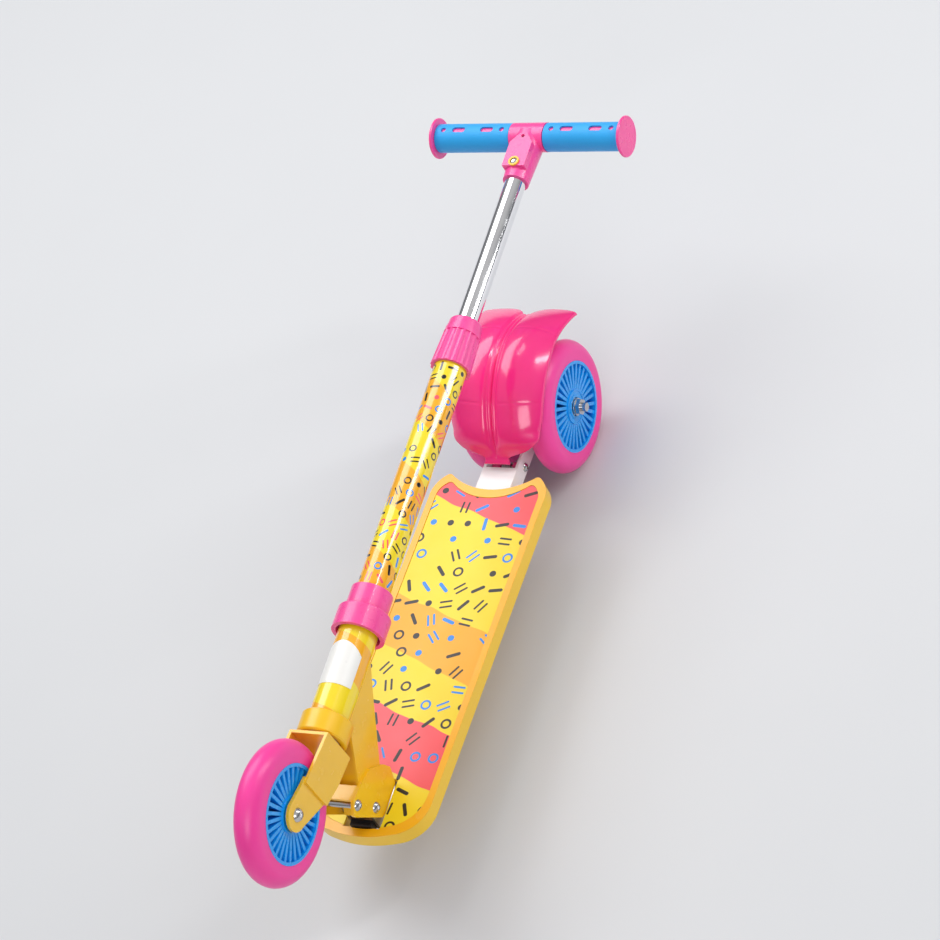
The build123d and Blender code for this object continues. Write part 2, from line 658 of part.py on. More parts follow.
def slab(sketch, z0, z1):
    """The sketch raised from z0 to z1."""
    return extrude(Plane.XY.offset(z0) * sketch, z1 - z0)


def screw_head(x, y, gap=0.0):
    """Countersunk head just below the mat, or its seat when a gap is given."""
    cone = Cone(2.0 + gap, 3.6 + gap, 1.6 + gap, align=(Align.CENTER, Align.CENTER, Align.MIN))
    return Pos(x, y, floor_top - 1.7) * cone


def deck_tray():
    """Tray with a raised rim, a ribbed hollow underneath, and the hinge slot."""
    body = slab(deck_outline(), deck_base, deck_top)
    body -= slab(deck_outline(RIM_W, RIM_REAR), floor_top, deck_top + 1)
    hollow = slab(deck_outline(DECK_WALL, DECK_WALL), deck_base - 1, floor_base)
    lane = TAIL_HALF + 1.4
    for x in (-DECK_HALF * 0.63, -lane - RIB_T, lane, DECK_HALF * 0.63 - RIB_T):
        hollow -= box(x, x + RIB_T, tip_y, peak_y, deck_base + 1, floor_base + 1)
    first, last = slot_y1 + 8, scoop_y - 14
    for i in range(CROSS_RIBS):
        y = first + (last - first) * i / (CROSS_RIBS - 1)
        for x0, x1 in ((-DECK_HALF, -lane - 0.5), (lane + 0.5, DECK_HALF)):
            hollow -= box(x0, x1, y, y + RIB_T, deck_base + 1, floor_base + 1)
    body -= hollow
    body -= box(-SLOT_HALF, SLOT_HALF, slot_y0, slot_y1, deck_base - 1, deck_top + 1)
    shelf_front = tip_y + DECK_WALL - 1
    body += box(-LATCH_HALF, LATCH_HALF, shelf_front, pivot_y - EAR_R + 0.6, deck_base, deck_base + 2)
    body -= box(-TAIL_HALF - 0.2, TAIL_HALF + 0.2, scoop_y - 12, peak_y, deck_base - 1, floor_base)
    for x, y in floor_screws:
        body -= post(2.1, deck_base, deck_top, y, x)
        body -= screw_head(x, y, 0.1)
    return body


bracket_rear = slot_y1 + 34
floor_screws = [(x, y) for x in (-9.0, 9.0) for y in (slot_y1 + 12, bracket_rear - 6)]
tail_front = scoop_y - TAIL_UNDER_DECK
floor_screws += [(x, y) for x in (-9.0, 9.0) for y in (tail_front + 12, scoop_y - 16)]


def deck_mat():
    """Thin mat inside the rim, open over the hinge slot."""
    body = slab(deck_outline(RIM_W + MAT_GAP, RIM_REAR + MAT_GAP), floor_top, floor_top + MAT_T)
    half = SLOT_HALF + MAT_GAP
    return body - box(-half, half, tip_y, slot_y1 + MAT_GAP, deck_base, deck_top)


def hinge_bracket():
    """Steel bracket under the deck floor, with two ears that carry the pivot."""
    base_z = floor_base - SHEET
    front_y = pivot_y - EAR_R + 1.4
    body = box(-ear_out, ear_out, slot_y1 + 0.5, bracket_rear, base_z, floor_base)
    body += box(-ear_out, ear_out, front_y, slot_y1 + 1, deck_base + 2, deck_base + 2 + SHEET)
    body += box(-ear_out, ear_out, slot_y1 + 0.5, slot_y1 + 3.1, deck_base + 2, floor_base)
    for side in (-1, 1):
        x0, x1 = sorted((side * ear_in, side * ear_out))
        body += box(x0, x1, pivot_y - EAR_R, pivot_y + EAR_R, deck_base + 2, pivot_z)
        body += rod(EAR_R, x0, x1, pivot_y, pivot_z)
        body += box(x0, x1, pivot_y, slot_y1 + 3.1, deck_base + 2, deck_base + 2 + 5)
    body -= rod(HINGE_BOLT_R + FIT, -30, 30, pivot_y, pivot_z)
    for x, y in floor_screws[:4]:
        body -= post(2.1, deck_base, deck_top, y, x)
    return body


def countersunk_screw(x, y, grip_to):
    """Screw from the mat side, with a flat head in the floor and a nut below."""
    shank = post(2.0, grip_to - 5, floor_top - 0.1, y, x)
    nut = Pos(x, y, grip_to - 3.4) * extrude(RegularPolygon(4.0, 6), 3.2)
    return shank + screw_head(x, y) + nut


def tail_bracket():
    """White channel from under the deck to the rear axle, open on top behind the fender's tab."""
    open_y = brake_y - 9.5
    x0, x1 = TAIL_HALF - TAIL_WALL, TAIL_HALF
    end_r = 11.0
    side = [(tail_front, tail_base), (tail_front, tail_top), (rear_y - 18, tail_top), (rear_y + 2, WHEEL_R + end_r),
            (rear_y + end_r, WHEEL_R), (rear_y + 2, WHEEL_R - end_r), (rear_y - 14, tail_base)]
    walls = both_sides(side_plate(side, x0, x1))
    body = walls[0] + walls[1]
    body += box(-x1, x1, tail_front, open_y, tail_top - TAIL_WALL, tail_top)
    body += box(-x1, x1, rear_y - 34, rear_y - 22, tail_base, tail_base + TAIL_WALL)
    body -= rod(AXLE_R + FIT, -30, 30, rear_y, WHEEL_R)
    body -= rod(BRAKE_PIN_R + FIT, -30, 30, brake_y, brake_z)
    for x, y in floor_screws[4:]:
        body -= post(2.1, deck_base, deck_top, y, x)
    return body


def latch_block():
    """Black push-up block that stands in front of the neck's tongue when riding."""
    y0, y1 = slot_y0 + 0.5, pivot_y - EAR_R + 0.9
    top = pivot_z - 11.2
    block = box(-LATCH_HALF, LATCH_HALF, y0, y1, top - 10, top)
    block = fillet(block.edges().filter_by(Axis.X).group_by(Axis.Z)[-1], 1.0)
    ridges = [box(-LATCH_HALF + 2, LATCH_HALF - 2, y0 + 1.2 + 2 * i, y0 + 2.0 + 2 * i, top - 0.4, top + 0.01)
              for i in range(2)]
    return block - ridges


def spring_coils(radius, wire, turns, z0, z1, y, x=0.0):
    """Compression spring as a stack of closed coils."""
    pitch = (z1 - z0 - wire) / (turns - 1)
    rings = [Pos(x, y, z0 + wire / 2 + i * pitch) * Torus(radius, wire / 2) for i in range(turns)]
    return together(*rings)


latch_y = (slot_y0 + 0.5 + pivot_y - EAR_R + 0.9) / 2
latch_bottom = pivot_z - 21.2
deck_nodes = {
    "deck_tray": deck_tray(),
    "deck_mat": deck_mat(),
    "hinge_bracket": hinge_bracket(),
    "bracket_screws": together(*[countersunk_screw(x, y, floor_base - SHEET) for x, y in floor_screws[:4]]),
    "pivot_sleeve": pipe(5.2, HINGE_BOLT_R + FIT, -ear_in + 0.1, ear_in - 0.1, pivot_y, pivot_z),
    "latch_spring": spring_coils(2.2, 0.8, 4, deck_base + 2, latch_bottom - 0.05, latch_y),
    "latch_block": latch_block(),
    "tail_bracket": tail_bracket(),
    "tail_screws": together(*[countersunk_screw(x, y, tail_top - TAIL_WALL) for x, y in floor_screws[4:]]),
}
for node, shape in deck_nodes.items():
    write(node, shape)

# ---- rear axle ----
hub_out = TRACK_HALF + TYRE_HALF
rear_bolt = rod(AXLE_R, -hub_out - 1.0, hub_out + 10.6, rear_y, WHEEL_R)
rear_bolt += dome_head(7.0, 4.6, -hub_out - 0.5 - washer_t, rear_y, WHEEL_R, -1)
rear_bolt += rod(AXLE_R, -hub_out - 2.0, -hub_out - 0.9, rear_y, WHEEL_R)
rear_washers = both_sides(pipe(7.8, BEARING_BORE + 0.1, hub_out + 0.5, hub_out + 0.5 + washer_t, rear_y, WHEEL_R))
rear_nut = hex_nut(13, 4.2, BEARING_BORE, hub_out + 0.5 + washer_t, rear_y, WHEEL_R)
inner_gap = pipe(6.0, BEARING_BORE + FIT, TAIL_HALF, TRACK_HALF - bearing_out - 0.05, rear_y, WHEEL_R)
outer_gap = pipe(6.0, BEARING_BORE + FIT, TRACK_HALF + bearing_out + 0.05, hub_out + 0.5, rear_y, WHEEL_R)
hub_gap = pipe(6.0, BEARING_BORE + FIT, TRACK_HALF - bearing_in + 0.05, TRACK_HALF + bearing_in - 0.05, rear_y,
               WHEEL_R)
tail_gap = pipe(6.5, BEARING_BORE + FIT, -TAIL_HALF + TAIL_WALL, TAIL_HALF - TAIL_WALL, rear_y, WHEEL_R)
write("rear_axle_bolt", rear_bolt)
write("rear_axle_nut", together(rear_nut, *rear_washers))
spacers = both_sides(inner_gap) + both_sides(outer_gap) + both_sides(hub_gap) + [tail_gap]
write("rear_axle_spacers", together(*spacers))

# ---- brake pin and fender ----
pin = rod(BRAKE_PIN_R, -TAIL_HALF - 4.5, TAIL_HALF + 0.2, brake_y, brake_z)
write("brake_pin", pin + dome_head(4.2, 2.4, TAIL_HALF, brake_y, brake_z, 1))
write("brake_pin_nut", hex_nut(8, 4, BRAKE_PIN_R, -TAIL_HALF - 4, brake_y, brake_z))
boss_half = TAIL_HALF - TAIL_WALL - 0.5
spring_half = 5.0
coil_r = BRAKE_PIN_R + 1.3
coils = [Pos(-spring_half + 1.0 + 2.0 * i, brake_y, brake_z) * Rot(0, 90, 0) * Torus(coil_r, 0.6) for i in range(5)]
write("brake_spring", together(*coils))


def fender_section(inset):
    """Half-arch across the wheels: two crowns with a groove between them, as a wire of points."""
    r = FENDER_R - inset
    half = FENDER_HALF - inset
    groove = Spline((-half, r - 9), (-half * 0.9, r - 2.5), (-half * 0.5, r + 2), (-half * 0.13, r + 0.6),
                    (0, r - 1.2), (half * 0.13, r + 0.6), (half * 0.5, r + 2), (half * 0.9, r - 2.5), (half, r - 9))
    return groove


def fender():
    """Double mudguard over both rear wheels, which is also the foot brake."""
    outer, inner = fender_section(0), fender_section(FENDER_T)
    ends = [Line(outer @ 0, inner @ 0), Line(outer @ 1, inner @ 1)]
    face = Plane.XZ * make_face(Curve() + [outer, inner] + ends)
    arc_deg = 114.0
    start = 152.0                       # front lower edge, degrees above +Y about X
    shell = revolve(face, Axis.X, arc_deg)
    shell = Rot(start - arc_deg - 90, 0, 0) * shell
    body = Pos(0, rear_y + FENDER_BACK, WHEEL_R + FENDER_UP) * shell
    notch_y = rear_y + FENDER_BACK + FENDER_R * cos(radians(start - arc_deg))
    notch_z = WHEEL_R + FENDER_UP + FENDER_R * sin(radians(start - arc_deg))
    notch = make_face(Polyline((-9, 6), (0, -7), (9, 6), close=True))
    notch_plane = Plane((0, notch_y, notch_z), x_dir=(1, 0, 0), z_dir=(0, cos(radians(38)), sin(radians(38))))
    body -= extrude(notch_plane * Rot(0, 0, 180) * notch, 12, both=True)
    return body


def fender_tab():
    """Tab and pivot boss that join the shell to the tail."""
    top = tail_top + 0.6
    tab_half = 12.75
    front = brake_y - 5.4
    profile = [(front, top), (front, top + 2.4), (rear_y - 66.5, WHEEL_R + 31), (rear_y - 56, WHEEL_R + 39),
               (rear_y - 54.5, WHEEL_R + 36.6), (rear_y - 63.5, WHEEL_R + 29), (front + 3.4, top)]
    body = side_plate(profile, -tab_half, tab_half)
    boss = side_plate([(brake_y - 5, brake_z), (brake_y - 5, top + 1), (brake_y + 1.6, top + 8), (brake_y + 5, top),
                       (brake_y + 5, brake_z)], -boss_half, boss_half)
    boss += rod(5.0, -boss_half, boss_half, brake_y, brake_z)
    body += boss
    body -= rod(BRAKE_PIN_R + FIT, -30, 30, brake_y, brake_z)
    body -= rod(6.5, -spring_half - 0.8, spring_half + 0.8, brake_y, brake_z)
    return body


def brake_ribs():
    """Ribs under the shell that press on the tyres when the fender is stepped on."""
    inner = WHEEL_R + BRAKE_GAP
    ribs = []
    for x in (TRACK_HALF - 5, TRACK_HALF + 3):
        rib = pipe(FENDER_R + 4, inner, x, x + 2.2, rear_y, WHEEL_R)
        wedge = [(rear_y, WHEEL_R), (rear_y - 30, WHEEL_R + 110), (rear_y + 34, WHEEL_R + 110)]
        ribs += both_sides(common(rib, side_plate(wedge, x - 1, x + 3)))
    return ribs


outer_limit = Pos(0, rear_y + FENDER_BACK, WHEEL_R + FENDER_UP) * revolve(
    Plane.XZ * make_face(Curve() + [fender_section(1.0), Polyline(
        fender_section(1.0) @ 1, (FENDER_HALF - 1, 0), (1 - FENDER_HALF, 0), fender_section(1.0) @ 0)]), Axis.X, 360)
whole_fender = fender() + fender_tab()
for rib in brake_ribs():
    whole_fender += common(rib, outer_limit)
write("rear_fender", whole_fender)
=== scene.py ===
"""Finished looks for a children's folding kick scooter, laid out as a Blender add-on.

The CAD frame is loaded and kept as it is. Each operator gives a group of its pieces their
materials, or builds a finely meshed piece in place of a plainer one. Lengths are in metres,
with X to the rider's left, Y towards the rear, Z up and the ground at Z = 0.
"""
import json
from math import cos, pi, radians, sin

import bpy
import numpy as np
from bpy.props import FloatProperty, IntProperty, PointerProperty
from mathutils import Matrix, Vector


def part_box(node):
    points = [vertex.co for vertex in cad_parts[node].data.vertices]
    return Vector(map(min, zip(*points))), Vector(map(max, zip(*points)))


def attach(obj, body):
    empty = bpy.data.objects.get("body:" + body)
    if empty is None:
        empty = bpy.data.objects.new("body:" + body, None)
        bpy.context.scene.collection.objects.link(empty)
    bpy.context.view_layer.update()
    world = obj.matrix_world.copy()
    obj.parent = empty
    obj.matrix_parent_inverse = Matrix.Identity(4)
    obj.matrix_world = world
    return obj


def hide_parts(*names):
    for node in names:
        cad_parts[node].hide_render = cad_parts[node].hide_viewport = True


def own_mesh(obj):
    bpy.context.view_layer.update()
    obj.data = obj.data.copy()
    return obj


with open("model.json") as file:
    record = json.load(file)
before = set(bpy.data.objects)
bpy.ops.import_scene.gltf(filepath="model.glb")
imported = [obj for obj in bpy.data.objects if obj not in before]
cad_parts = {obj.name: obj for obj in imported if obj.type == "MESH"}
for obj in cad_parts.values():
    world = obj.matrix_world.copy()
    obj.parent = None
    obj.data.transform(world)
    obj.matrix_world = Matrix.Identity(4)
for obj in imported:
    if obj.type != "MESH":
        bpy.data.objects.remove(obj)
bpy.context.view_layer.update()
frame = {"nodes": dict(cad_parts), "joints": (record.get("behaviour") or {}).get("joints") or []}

bl_info = {
    "name": "Folding kick scooter looks",
    "version": (1, 0, 0),
    "blender": (4, 5, 0),
    "location": "3D View > Sidebar > Scooter",
    "description": "Materials and fine surfaces for a children's folding kick scooter",
    "category": "Object",
}

NODES = frame["nodes"]
JOINTS = {j["name"]: j for j in frame["joints"]}
COLUMN = Vector(JOINTS["steering_turn"]["axis"])          # along the steering column, towards the bar
FACING = Vector((0.0, -COLUMN.z, COLUMN.y))               # the column's front
AXLE = Vector(JOINTS["front_wheel_spin"]["pos_m"])
REAR = Vector(JOINTS["rear_left_spin"]["pos_m"])
BRAKE_PIN = Vector(JOINTS["brake_press"]["pos_m"])
AXIS_BACK = (Vector(JOINTS["steering_turn"]["pos_m"]) - AXLE).dot(FACING)
MM = 1000.0


# ---------------------------------------------------------------- settings
def length(name, description, default):
    """A length in metres that a user can change."""
    return FloatProperty(name=name, description=description, default=default, unit="LENGTH", subtype="DISTANCE")


class ScooterTyreSettings(bpy.types.PropertyGroup):
    """Sizes of the tyres' fine surface."""

    radius: length("Radius", "Outside radius", 0.0599)
    half: length("Half width", "Half the tyre's width", 0.01185)
    seat: length("Seat radius", "Radius where the tyre meets the hub", 0.0408)
    seam: length("Mould seam", "Height of the seam round the tread", 0.00008)
    around: IntProperty(name="Segments", description="Segments round the wheel", default=288)
    across: IntProperty(name="Profile points", description="Points round the tyre's section", default=72)


class ScooterFenderSettings(bpy.types.PropertyGroup):
    """Sizes of the fender's fine surface."""

    thick: length("Thickness", "Wall thickness", 0.0028)
    spine: length("Spine width", "Half width of the middle ridge", 0.0042)
    along: IntProperty(name="Rows", description="Rows from the tab to the rear edge", default=180)
    across: IntProperty(name="Columns", description="Columns from side to side", default=221)


class ScooterPaintSettings(bpy.types.PropertyGroup):
    """How worn and grained the finishes are."""

    wear: FloatProperty(name="Wear", description="Strength of scuffs", default=0.35, subtype="FACTOR")
    grain: length("Grain", "Depth of moulded grain", 0.00004)


class ScooterStageSettings(bpy.types.PropertyGroup):
    """Floor, lights and camera."""

    lens: FloatProperty(name="Lens", description="Camera focal length in millimetres", default=137.6)
    sky: FloatProperty(name="Sky", description="Strength of the surrounding light", default=0.56)
    key: FloatProperty(name="Key", description="Power of the key light in watts", default=30.0)
    fill: FloatProperty(name="Fill", description="Power of each smaller light in watts", default=15.0)


# ---------------------------------------------------------------- shader building
class Value:
    """A number in a shader: arithmetic on it adds math nodes."""

    def __init__(self, graph, socket):
        self.graph = graph
        self.socket = socket

    def __add__(self, other):
        return self.graph.math("ADD", self, other)

    def __radd__(self, other):
        return self.graph.math("ADD", other, self)

    def __sub__(self, other):
        return self.graph.math("SUBTRACT", self, other)

    def __rsub__(self, other):
        return self.graph.math("SUBTRACT", other, self)

    def __mul__(self, other):
        return self.graph.math("MULTIPLY", self, other)

    def __rmul__(self, other):
        return self.graph.math("MULTIPLY", other, self)

    def __truediv__(self, other):
        return self.graph.math("DIVIDE", self, other)

    def __rtruediv__(self, other):
        return self.graph.math("DIVIDE", other, self)

    def __neg__(self):
        return self.graph.math("MULTIPLY", self, -1.0)

    def abs(self):
        return self.graph.math("ABSOLUTE", self)

    def sqrt(self):
        return self.graph.math("SQRT", self)

    def clamp(self):
        return self.graph.math("ADD", self, 0.0, clamp=True)


class Graph:
    """Builder for one material's node tree."""

    def __init__(self, name):
        self.material = bpy.data.materials.new(name)
        self.material.use_nodes = True
        self.tree = self.material.node_tree
        self.tree.nodes.clear()
        coords = self.node("ShaderNodeTexCoord")
        self.place = coords.outputs["Object"]
        self.sep = None

    def node(self, kind, settings=None, **inputs):
        """Any node: its type, its settings, and its inputs as values or links by name."""
        made = self.tree.nodes.new(kind)
        for key, setting in (settings or {}).items():
            setattr(made, key, setting)
        for key, source in inputs.items():
            self.feed(made.inputs[key.replace("_", " ")], source)
        return made

    def feed(self, socket, source):
        """Link a socket to a source, or set it to a constant."""
        if isinstance(source, Value):
            source = source.socket
        if isinstance(source, bpy.types.NodeSocket):
            self.tree.links.new(source, socket)
        elif isinstance(source, tuple) and len(source) == 3 and len(socket.default_value) == 4:
            socket.default_value = (*source, 1.0)
        else:
            socket.default_value = source

    def math(self, operation, *values, clamp=False):
        """One math node on numbers or Values."""
        made = self.tree.nodes.new("ShaderNodeMath")
        made.operation = operation
        made.use_clamp = clamp
        for socket, source in zip(made.inputs, values):
            self.feed(socket, source)
        return Value(self, made.outputs[0])

    def vector(self, operation, *values, scale=None):
        """One vector math node; gives its output socket."""
        made = self.tree.nodes.new("ShaderNodeVectorMath")
        made.operation = operation
        for socket, source in zip(made.inputs, values):
            self.feed(socket, source)
        if scale is not None:
            self.feed(made.inputs["Scale"], scale)
        return made.outputs["Value" if operation == "DOT_PRODUCT" else "Vector"]

    def mix(self, factor, low, high, blend="MIX"):
        """Mix two colours; gives the colour socket."""
        made = self.tree.nodes.new("ShaderNodeMix")
        made.data_type = "RGBA"
        made.blend_type = blend
        self.feed(made.inputs[0], factor)
        self.feed(made.inputs[6], low)
        self.feed(made.inputs[7], high)
        return made.outputs[2]

    def along(self, origin, direction, scale=MM):
        """Distance of the shaded point from a plane through origin, in millimetres."""
        offset = self.vector("SUBTRACT", self.place, tuple(origin))
        dot = Value(self, self.vector("DOT_PRODUCT", offset, tuple(direction)))
        return dot * scale

    def noise(self, scale, detail=3.0, rough=0.55, at=None):
        """Noise between 0 and 1."""
        made = self.node("ShaderNodeTexNoise", None, Vector=at or self.place, Scale=scale, Detail=detail,
                         Roughness=rough)
        return Value(self, made.outputs["Factor" if "Factor" in made.outputs else "Fac"])

    def stretched(self, factors):
        """The coordinates stretched by three factors."""
        return self.vector("MULTIPLY", self.place, factors)

    def point(self, u, v, w=0.0):
        """A vector from three numbers."""
        made = self.tree.nodes.new("ShaderNodeCombineXYZ")
        for socket, source in zip(made.inputs, (u, v, w)):
            self.feed(socket, source)
        return made.outputs[0]

    def ramp(self, value, low, high):
        """0 below low, 1 above high, straight between."""
        return ((value - low) / (high - low)).clamp()

    def finish(self, colour, rough, bump=None, depth=0.00005, **sockets):
        """Principled surface, its bump and the output."""
        shader = self.node("ShaderNodeBsdfPrincipled")
        self.feed(shader.inputs["Base Color"], colour)
        self.feed(shader.inputs["Roughness"], rough)
        for key, source in sockets.items():
            self.feed(shader.inputs[key.replace("_", " ")], source)
        if bump is not None:
            relief = self.node("ShaderNodeBump", None, Strength=1.0, Distance=depth, Height=bump)
            self.tree.links.new(relief.outputs[0], shader.inputs["Normal"])
        out = self.tree.nodes.new("ShaderNodeOutputMaterial")
        self.tree.links.new(shader.outputs[0], out.inputs[0])
        return self.material


def paint(red, green, blue):
    """Linear colour from 0-255 display values."""
    values = [v / 255.0 for v in (red, green, blue)]
    return tuple(v / 12.92 if v <= 0.04045 else ((v + 0.055) / 1.055) ** 2.4 for v in values)


def shade(colour, factor):
    """The colour made darker or lighter."""
    return tuple(min(1.0, c * factor) for c in colour)


def mottled(graph, colour, spread=0.08, scale=35.0):
    """The colour with soft uneven patches."""
    return graph.mix(graph.noise(scale), shade(colour, 1 - spread), shade(colour, 1 + spread))


def scuffs(graph, amount):
    """Sparse fine scratches between 0 and 1."""
    fine = graph.noise(60.0, detail=6.0, rough=0.7, at=graph.stretched((9.0, 1.2, 5.0)))
    patch = graph.ramp(graph.noise(14.0), 0.5, 0.68)
    return graph.ramp(fine, 0.63, 0.70) * patch * amount


def plastic(name, colour, rough=0.3, grain=0.5, coat=0.0, spread=0.07, glow=0.0):
    """Moulded plastic: soft colour patches, faint grain, light scuffs."""
    settings = bpy.context.scene.scooter_paint
    g = Graph(name)
    wear = scuffs(g, settings.wear)
    base = g.mix(wear * 0.35, mottled(g, colour, spread), shade(colour, 1.35))
    roughness = rough + (g.noise(90.0) - 0.5) * 0.12 + wear * 0.25
    relief = g.noise(1500.0, detail=2.0) * grain + g.noise(160.0) * 0.35 * grain - wear * 0.6
    return g.finish(base, roughness, relief, settings.grain, Coat_Weight=coat, Coat_Roughness=0.08,
                    Subsurface_Weight=glow, Subsurface_Radius=(0.004, 0.0015, 0.001), Subsurface_Scale=0.6)


def painted(name, colour, rough=0.26, coat=0.5):
    """Gloss paint on steel: orange peel under a clear coat."""
    settings = bpy.context.scene.scooter_paint
    g = Graph(name)
    wear = scuffs(g, settings.wear)
    base = g.mix(wear * 0.4, mottled(g, colour, 0.06, 28.0), shade(colour, 0.55))
    peel = g.noise(420.0, detail=2.0) * 0.6 + g.noise(130.0, detail=1.0) * 0.4
    roughness = rough + (g.noise(70.0) - 0.5) * 0.1 + wear * 0.3
    return g.finish(base, roughness, peel - wear, 0.00004, Coat_Weight=coat, Coat_Roughness=0.06)


def bare_metal(name, tint, rough, streak=0.3, depth=0.00002):
    """Plated or polished metal with fine drawn streaks along the part."""
    g = Graph(name)
    lines = g.noise(260.0, detail=5.0, rough=0.7, at=g.stretched((1.0, 0.08, 1.0)))
    smudge = g.noise(22.0, detail=2.0)
    base = g.mix(smudge, shade(tint, 0.9), tint)
    roughness = rough + (lines - 0.5) * streak * rough + g.ramp(smudge, 0.52, 0.75) * rough * 0.8
    return g.finish(base, roughness, lines, depth, Metallic=1.0)


# ---------------------------------------------------------------- printed patterns
class Print:
    """Flat shapes laid over a colour, with u and v in millimetres on the printed surface."""

    def __init__(self, graph, u, v, base):
        self.g = graph
        self.u = u
        self.v = v
        self.colour = base

    def lay(self, mask, colour):
        """Print a colour through a mask."""
        self.colour = self.g.mix(mask, self.colour, colour)

    def edge(self, distance, soft=0.12):
        """Mask from a signed distance, inside where it is negative."""
        return (0.5 - distance / (2 * soft)).clamp()

    def bands(self, pitch, slant, tones):
        """Broad slanting bands that repeat along v, with wavering edges."""
        waver = (self.g.noise(0.02, detail=1.0, at=self.g.point(self.u, self.v)) - 0.5) * 0.5
        place = self.g.math("FRACT", (self.v + self.u * slant) / (pitch * len(tones)) + waver * 0.1)
        for k, tone in enumerate(tones[1:], 1):
            middle = (k + 0.5) / len(tones)
            away = (place - middle).abs() - 0.5 / len(tones)
            self.lay(self.edge(away * pitch * len(tones), 0.3), tone)

    def confetti(self, pitch, size, seed, tones):
        """One small shape in each square cell, dealt by chance from a fixed seed.

        The cell's random numbers pick its turn, its tone and its kind: a bar, a pair of
        dashes, a dot or a ring. Some cells stay empty.
        """
        g = self.g
        row = g.math("FLOOR", self.v / pitch)
        shifted = self.u / pitch + g.math("FRACT", row * 0.5)
        cell = g.point(g.math("FLOOR", shifted), row, float(seed))
        dealt = g.node("ShaderNodeTexWhiteNoise", {"noise_dimensions": "3D"}, Vector=cell)
        split = g.node("ShaderNodeSeparateXYZ", None, Vector=dealt.outputs["Color"])
        kind, tone, turn = (Value(g, split.outputs[i]) for i in range(3))
        du = (g.math("FRACT", shifted) - 0.5) * pitch
        dv = (g.math("FRACT", self.v / pitch) - 0.5) * pitch
        sine, cosine = g.math("SINE", turn * pi), g.math("COSINE", turn * pi)
        run, side = du * cosine + dv * sine, dv * cosine - du * sine
        over = g.math("MAXIMUM", run.abs() - size, 0.0)
        bar = (over * over + side * side).sqrt() - size * 0.34
        apart = side.abs() - size * 0.55
        pair = (over * over + apart * apart).sqrt() - size * 0.2
        reach = (du * du + dv * dv).sqrt()
        ring = (reach - size * 0.8).abs() - size * 0.2
        dot = reach - size * 0.62
        for low, high, shape in ((0.0, 0.26, bar), (0.26, 0.5, pair), (0.5, 0.68, dot), (0.68, 0.84, ring)):
            chosen = g.math("GREATER_THAN", kind, low) * g.math("LESS_THAN", kind, high)
            for k, colour in enumerate(tones):
                start, stop = k / len(tones), (k + 1) / len(tones)
                toned = g.math("GREATER_THAN", tone, start) * g.math("LESS_THAN", tone, stop)
                self.lay(self.edge(shape) * chosen * toned, colour)


INK = paint(16, 14, 18)
YELLOW = paint(250, 222, 30)
MUSTARD = paint(250, 178, 22)
CORAL = paint(252, 88, 98)
SKY = paint(28, 140, 232)
PAPER = paint(243, 242, 238)


def wrapped(name, radius, base):
    """A print wrapped round the column: u runs round the tube and v along it."""
    g = Graph(name)
    a, c = g.along(AXLE, (1.0, 0.0, 0.0)), g.along(AXLE, COLUMN)
    f = g.along(AXLE, FACING) - AXIS_BACK * MM
    return g, Print(g, g.math("ARCTAN2", a, f) * radius, c, mottled(g, base, 0.03))


def tube_material():
    """Yellow film with plain confetti wrapped round the outer tube."""
    g, art = wrapped("printed_tube", 14.7, YELLOW)
    art.bands(42.0, 0.6, (YELLOW, MUSTARD))
    art.confetti(10.5, 3.5, 3, (INK, INK, INK, CORAL, SKY))
    return lacquered(g, art.colour)


def lacquered(g, colour, rough=0.16):
    """A print under clear lacquer."""
    wear = scuffs(g, bpy.context.scene.scooter_paint.wear)
    colour = g.mix(wear * 0.4, colour, PAPER)
    peel = g.noise(300.0, detail=2.0) * 0.5 + g.noise(90.0, detail=1.0) * 0.5
    roughness = rough + (g.noise(60.0) - 0.5) * 0.08 + wear * 0.3
    return g.finish(colour, roughness, peel - wear, 0.000006, Coat_Weight=0.8, Coat_Roughness=0.04)


def head_material():
    """Head tube film: plain warm bands."""
    g, art = wrapped("printed_head", 17.0, MUSTARD)
    art.bands(34.0, 0.3, (MUSTARD, YELLOW))
    return lacquered(g, art.colour)


def mat_material():
    """Grip sheet printed with bands and confetti, embossed with a fine stipple."""
    g = Graph("printed_mat")
    u = g.along((0, 0, 0), (1.0, 0.0, 0.0))
    v = g.along((0, 0, 0), (0.0, 1.0, 0.0))
    art = Print(g, u, v, mottled(g, YELLOW, 0.04))
    art.bands(52.0, 0.35, (YELLOW, CORAL, YELLOW, MUSTARD, YELLOW))
    art.confetti(17.0, 5.0, 11, (INK, INK, INK, SKY))
    at = g.point(u, v)
    bead = g.node("ShaderNodeTexVoronoi", {"voronoi_dimensions": "2D"}, Vector=at, Scale=0.9, Randomness=0.2)
    stipple = g.ramp(Value(g, bead.outputs["Distance"]), 0.45, 0.15)
    dirt = g.ramp(g.noise(9.0, detail=5.0), 0.52, 0.8)
    colour = g.mix(dirt * 0.10, art.colour, shade(MUSTARD, 0.5))
    roughness = 0.42 + (g.noise(60.0) - 0.5) * 0.16 + dirt * 0.15
    return g.finish(colour, roughness, stipple * 0.5 + g.noise(900.0) * 0.3, 0.00008, Coat_Weight=0.12,
                    Coat_Roughness=0.25)


